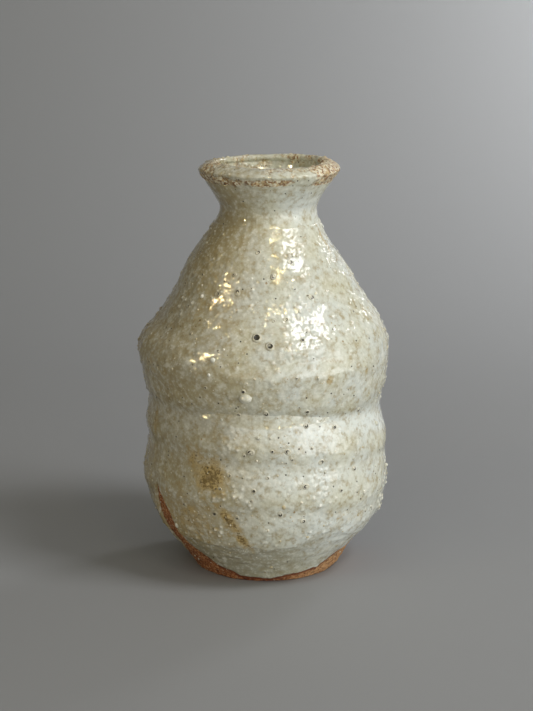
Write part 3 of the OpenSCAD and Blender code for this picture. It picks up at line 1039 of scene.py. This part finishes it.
# %% [markdown]
# ## Beads and burst bubbles
# A bead is glaze that gathered round a stone and stands up as a drop. A burst bubble is a ring of glaze
# with a hole in the middle, like a tiny volcano, and its hole and one side of its ring are painted dark,
# as painted shade. The largest stand where they do on the real flask, and small ones are scattered over
# the rest. Painted dots would lie flat under the light, so each one has its own rim and slope.

# %% Glassy bead material
# Gathered glaze is deep and milky, and shines like a drop of water.
glassy, tree = new_material("gathered_glaze_bead")
here = add(tree, "TexCoord", out=3)
cloud = add(tree, "TexNoise", {"Vector": here, "Scale": per_mm(2.5), "Detail": 2.0})
tint = paint(tree, colour("#BAB8A4"), (cloud, 0.3, 0.7, 1.0, "#E0E0D6"))
gloss = add(tree, "MapRange", {"Value": cloud, "To Min": 0.08, "To Max": 0.22})
dents = add(tree, "Bump", {"Height": cloud, "Distance": 0.2 * MM, "Strength": 0.4})
shader = add(tree, "BsdfPrincipled",
             {"Base Color": tint, "Roughness": gloss, "IOR": GLASS_IOR, "Normal": dents})
add(tree, "OutputMaterial", {"Surface": shader})

# %% Glaze beads
# The ones that show best: angle in degrees, height and radius in mm.
shown_beads = np.array([(-97.6, 68.3, 1.75), (-91, 124, 0.45), (-113, 80, 0.7), (-71, 94, 0.6)])
SCATTERED_BEADS = 16
random = np.random.default_rng(8)
degrees, height, size = with_scattered(
    random, shown_beads, SCATTERED_BEADS, (-180, 180), (18, neck_z - 12), (0.4, 0.8))
skin, out = on_skin(np.radians(degrees), height)
points, faces = balls(skin + out * size[:, None] * 0.15, out, size, rings=12, columns=20, flat=0.95,
                      uneven=0.07, seed=9)
new_piece("glaze_beads_gathered", points, faces, "glaze_bead", "glaze_beads", glassy)

# %% Shape of a burst bubble
# Seven rings from the foot of the slope over the rim and down. Each row: distance from the middle in
# radii, then height in radii and darkness of a closed bubble, then the same of a wide-open one. The
# darkness is painted shade.
crater_rings = np.array([
    (1.80, -0.30, 0.00, -0.30, 0.00),
    (1.30, 0.15, 0.00, 0.25, 0.00),
    (1.00, 0.32, 0.35, 0.55, 0.10),
    (0.80, 0.12, 1.00, 0.42, 0.75),
    (0.60, 0.12, 0.75, 0.15, 1.00),
    (0.38, 0.30, 0.15, 0.08, 1.00),
    (0.15, 0.36, 0.00, 0.06, 1.00),
])


def craters(middles, outs, radii, wide_open, seed, columns=14):
    """Burst bubbles: the rings carried round each middle. A closed bubble's dark ring runs round a pale cap
    and is darkest on one side, and a wide-open one is a dark hole: both are painted shade, for the shade in
    a pit. wide_open, from 0 to 1, mixes the two. Returns points, faces and the painted shade of each point."""
    far, closed_rise, closed_dark, open_rise, open_dark = crater_rings.T
    random = np.random.default_rng(seed)
    turn = np.linspace(0, 2 * math.pi, columns, endpoint=False)[:, None]
    darkest = random.uniform(0, 2 * math.pi, len(middles))
    side = -sideways(outs)
    up = np.cross(outs, side)
    long = 1 + 0.35 * np.cos(turn - darkest) ** 2 * (1 - wide_open)
    flat = np.cos(turn)[..., None] * side + np.sin(turn)[..., None] * up
    mix = wide_open[:, None]
    rise = (1 - mix) * closed_rise + mix * open_rise
    dark = (1 - mix) * closed_dark + mix * open_dark
    across = far[:, None, None, None] * (flat * long[..., None])[None]
    lift = rise.T[:, None, :, None] * outs
    points = middles + radii[:, None] * (across + lift)
    points = np.moveaxis(points, 2, 0).reshape(len(middles), -1, 3)
    facing_dark = mix + (1 - mix) * ramp(np.cos(turn - darkest).T, -0.7, 0.5)
    shade = (dark[:, :, None] * facing_dark[:, None, :]).reshape(len(middles), -1)
    cap = middles + (rise[:, -1] * radii)[:, None] * outs
    under = middles - (0.9 * radii)[:, None] * outs
    points = np.concatenate([points, under[:, None], cap[:, None]], 1)
    shade = np.concatenate([shade, 0 * mix, dark[:, -1:]], 1)
    parts = [grid_faces(len(far), columns), pole_faces(len(far), columns)]
    return points, copies(parts, len(middles), points.shape[1]), shade


# %% Burst bubble material
# The same glaze, pale on the rim where it drew back, and with painted shade in the hole and on one side of
# the ring.
crater_glaze, tree = new_material("burst_bubble_in_glaze")
here = add(tree, "TexCoord", out=3)
soot, left_side = (add(tree, "Attribute", attribute_name=zone, out=2) for zone in ("soot", "olive"))
cloud = add(tree, "TexNoise", {"Vector": here, "Scale": per_mm(1.6), "Detail": 2.0})
tint = paint(
    tree, colour("#C3BFA8"),
    (cloud, 0.0, 1.0, 1.0, "#D6D4C6"),
    (left_side, 0.0, 1.0, 0.8, "#8F8058"),
    # painted shade in the holes and on one side of the rings
    (soot, 0.05, 0.6, 0.97, "#26221B"))
gloss = add(tree, "MapRange", {"Value": cloud, "To Min": 0.08, "To Max": 0.22})
dents = add(tree, "Bump", {"Height": cloud, "Distance": 0.05 * MM})
shader = add(tree, "BsdfPrincipled",
             {"Base Color": tint, "Roughness": gloss, "IOR": GLASS_IOR, "Normal": dents})
add(tree, "OutputMaterial", {"Surface": shader})

# %% Burst bubbles
SCATTERED_CRATERS = 90
OPEN_CHANCE = 0.25           # share of the scattered ones that stayed wide open
# The ones that show best: angle in degrees, height, radius, and 1 where the bubble stayed wide open.
shown_craters = np.array([
    (-95.7, 87.0, 1.1, 1), (-88.8, 84.7, 0.9, 0.5), (-98.3, 70.6, 0.5, 1), (-108.6, 100, 0.6, 0),
    (-96.7, 112, 0.45, 0), (-71, 109, 0.5, 0), (-85, 105, 0.5, 0), (-122, 99, 0.55, 0), (-61, 98, 0.6, 0),
    (-80, 92, 0.5, 0), (-73, 86, 0.5, 1), (-89, 63, 0.6, 0), (-102, 62, 0.5, 0), (-70, 63, 0.5, 0.6),
    (-70, 58, 0.6, 0), (-80, 50, 0.6, 0), (-97, 50, 0.65, 0), (-64, 45.5, 0.55, 0), (-45, 41, 0.5, 0),
    (-72, 38, 0.6, 0), (-96, 37, 0.5, 0.6), (-84, 29, 0.6, 0), (-73, 26, 0.5, 0), (-115, 28, 0.5, 0.5),
    (-39, 60, 0.5, 0), (-55, 56, 0.5, 0.6),
])
random = np.random.default_rng(12)
degrees, height, size, wide_open = with_scattered(
    random, shown_craters, SCATTERED_CRATERS, (-180, 180), (24, neck_z - 9), (0.22, 0.42), (0, 1))
wide_open[len(shown_craters):] = wide_open[len(shown_craters):] < OPEN_CHANCE
skin, out = on_skin(np.radians(degrees), height)
# shade is painted shade for each bubble's hole and for the dark side of its ring
points, faces, shade = craters(skin + 0.06 * out, out, size, wide_open, seed=13)
new_piece("burst_bubbles", points, faces, "feldspar_glaze", None, crater_glaze, soot=shade,
          olive=glaze_zones(points)["olive"])
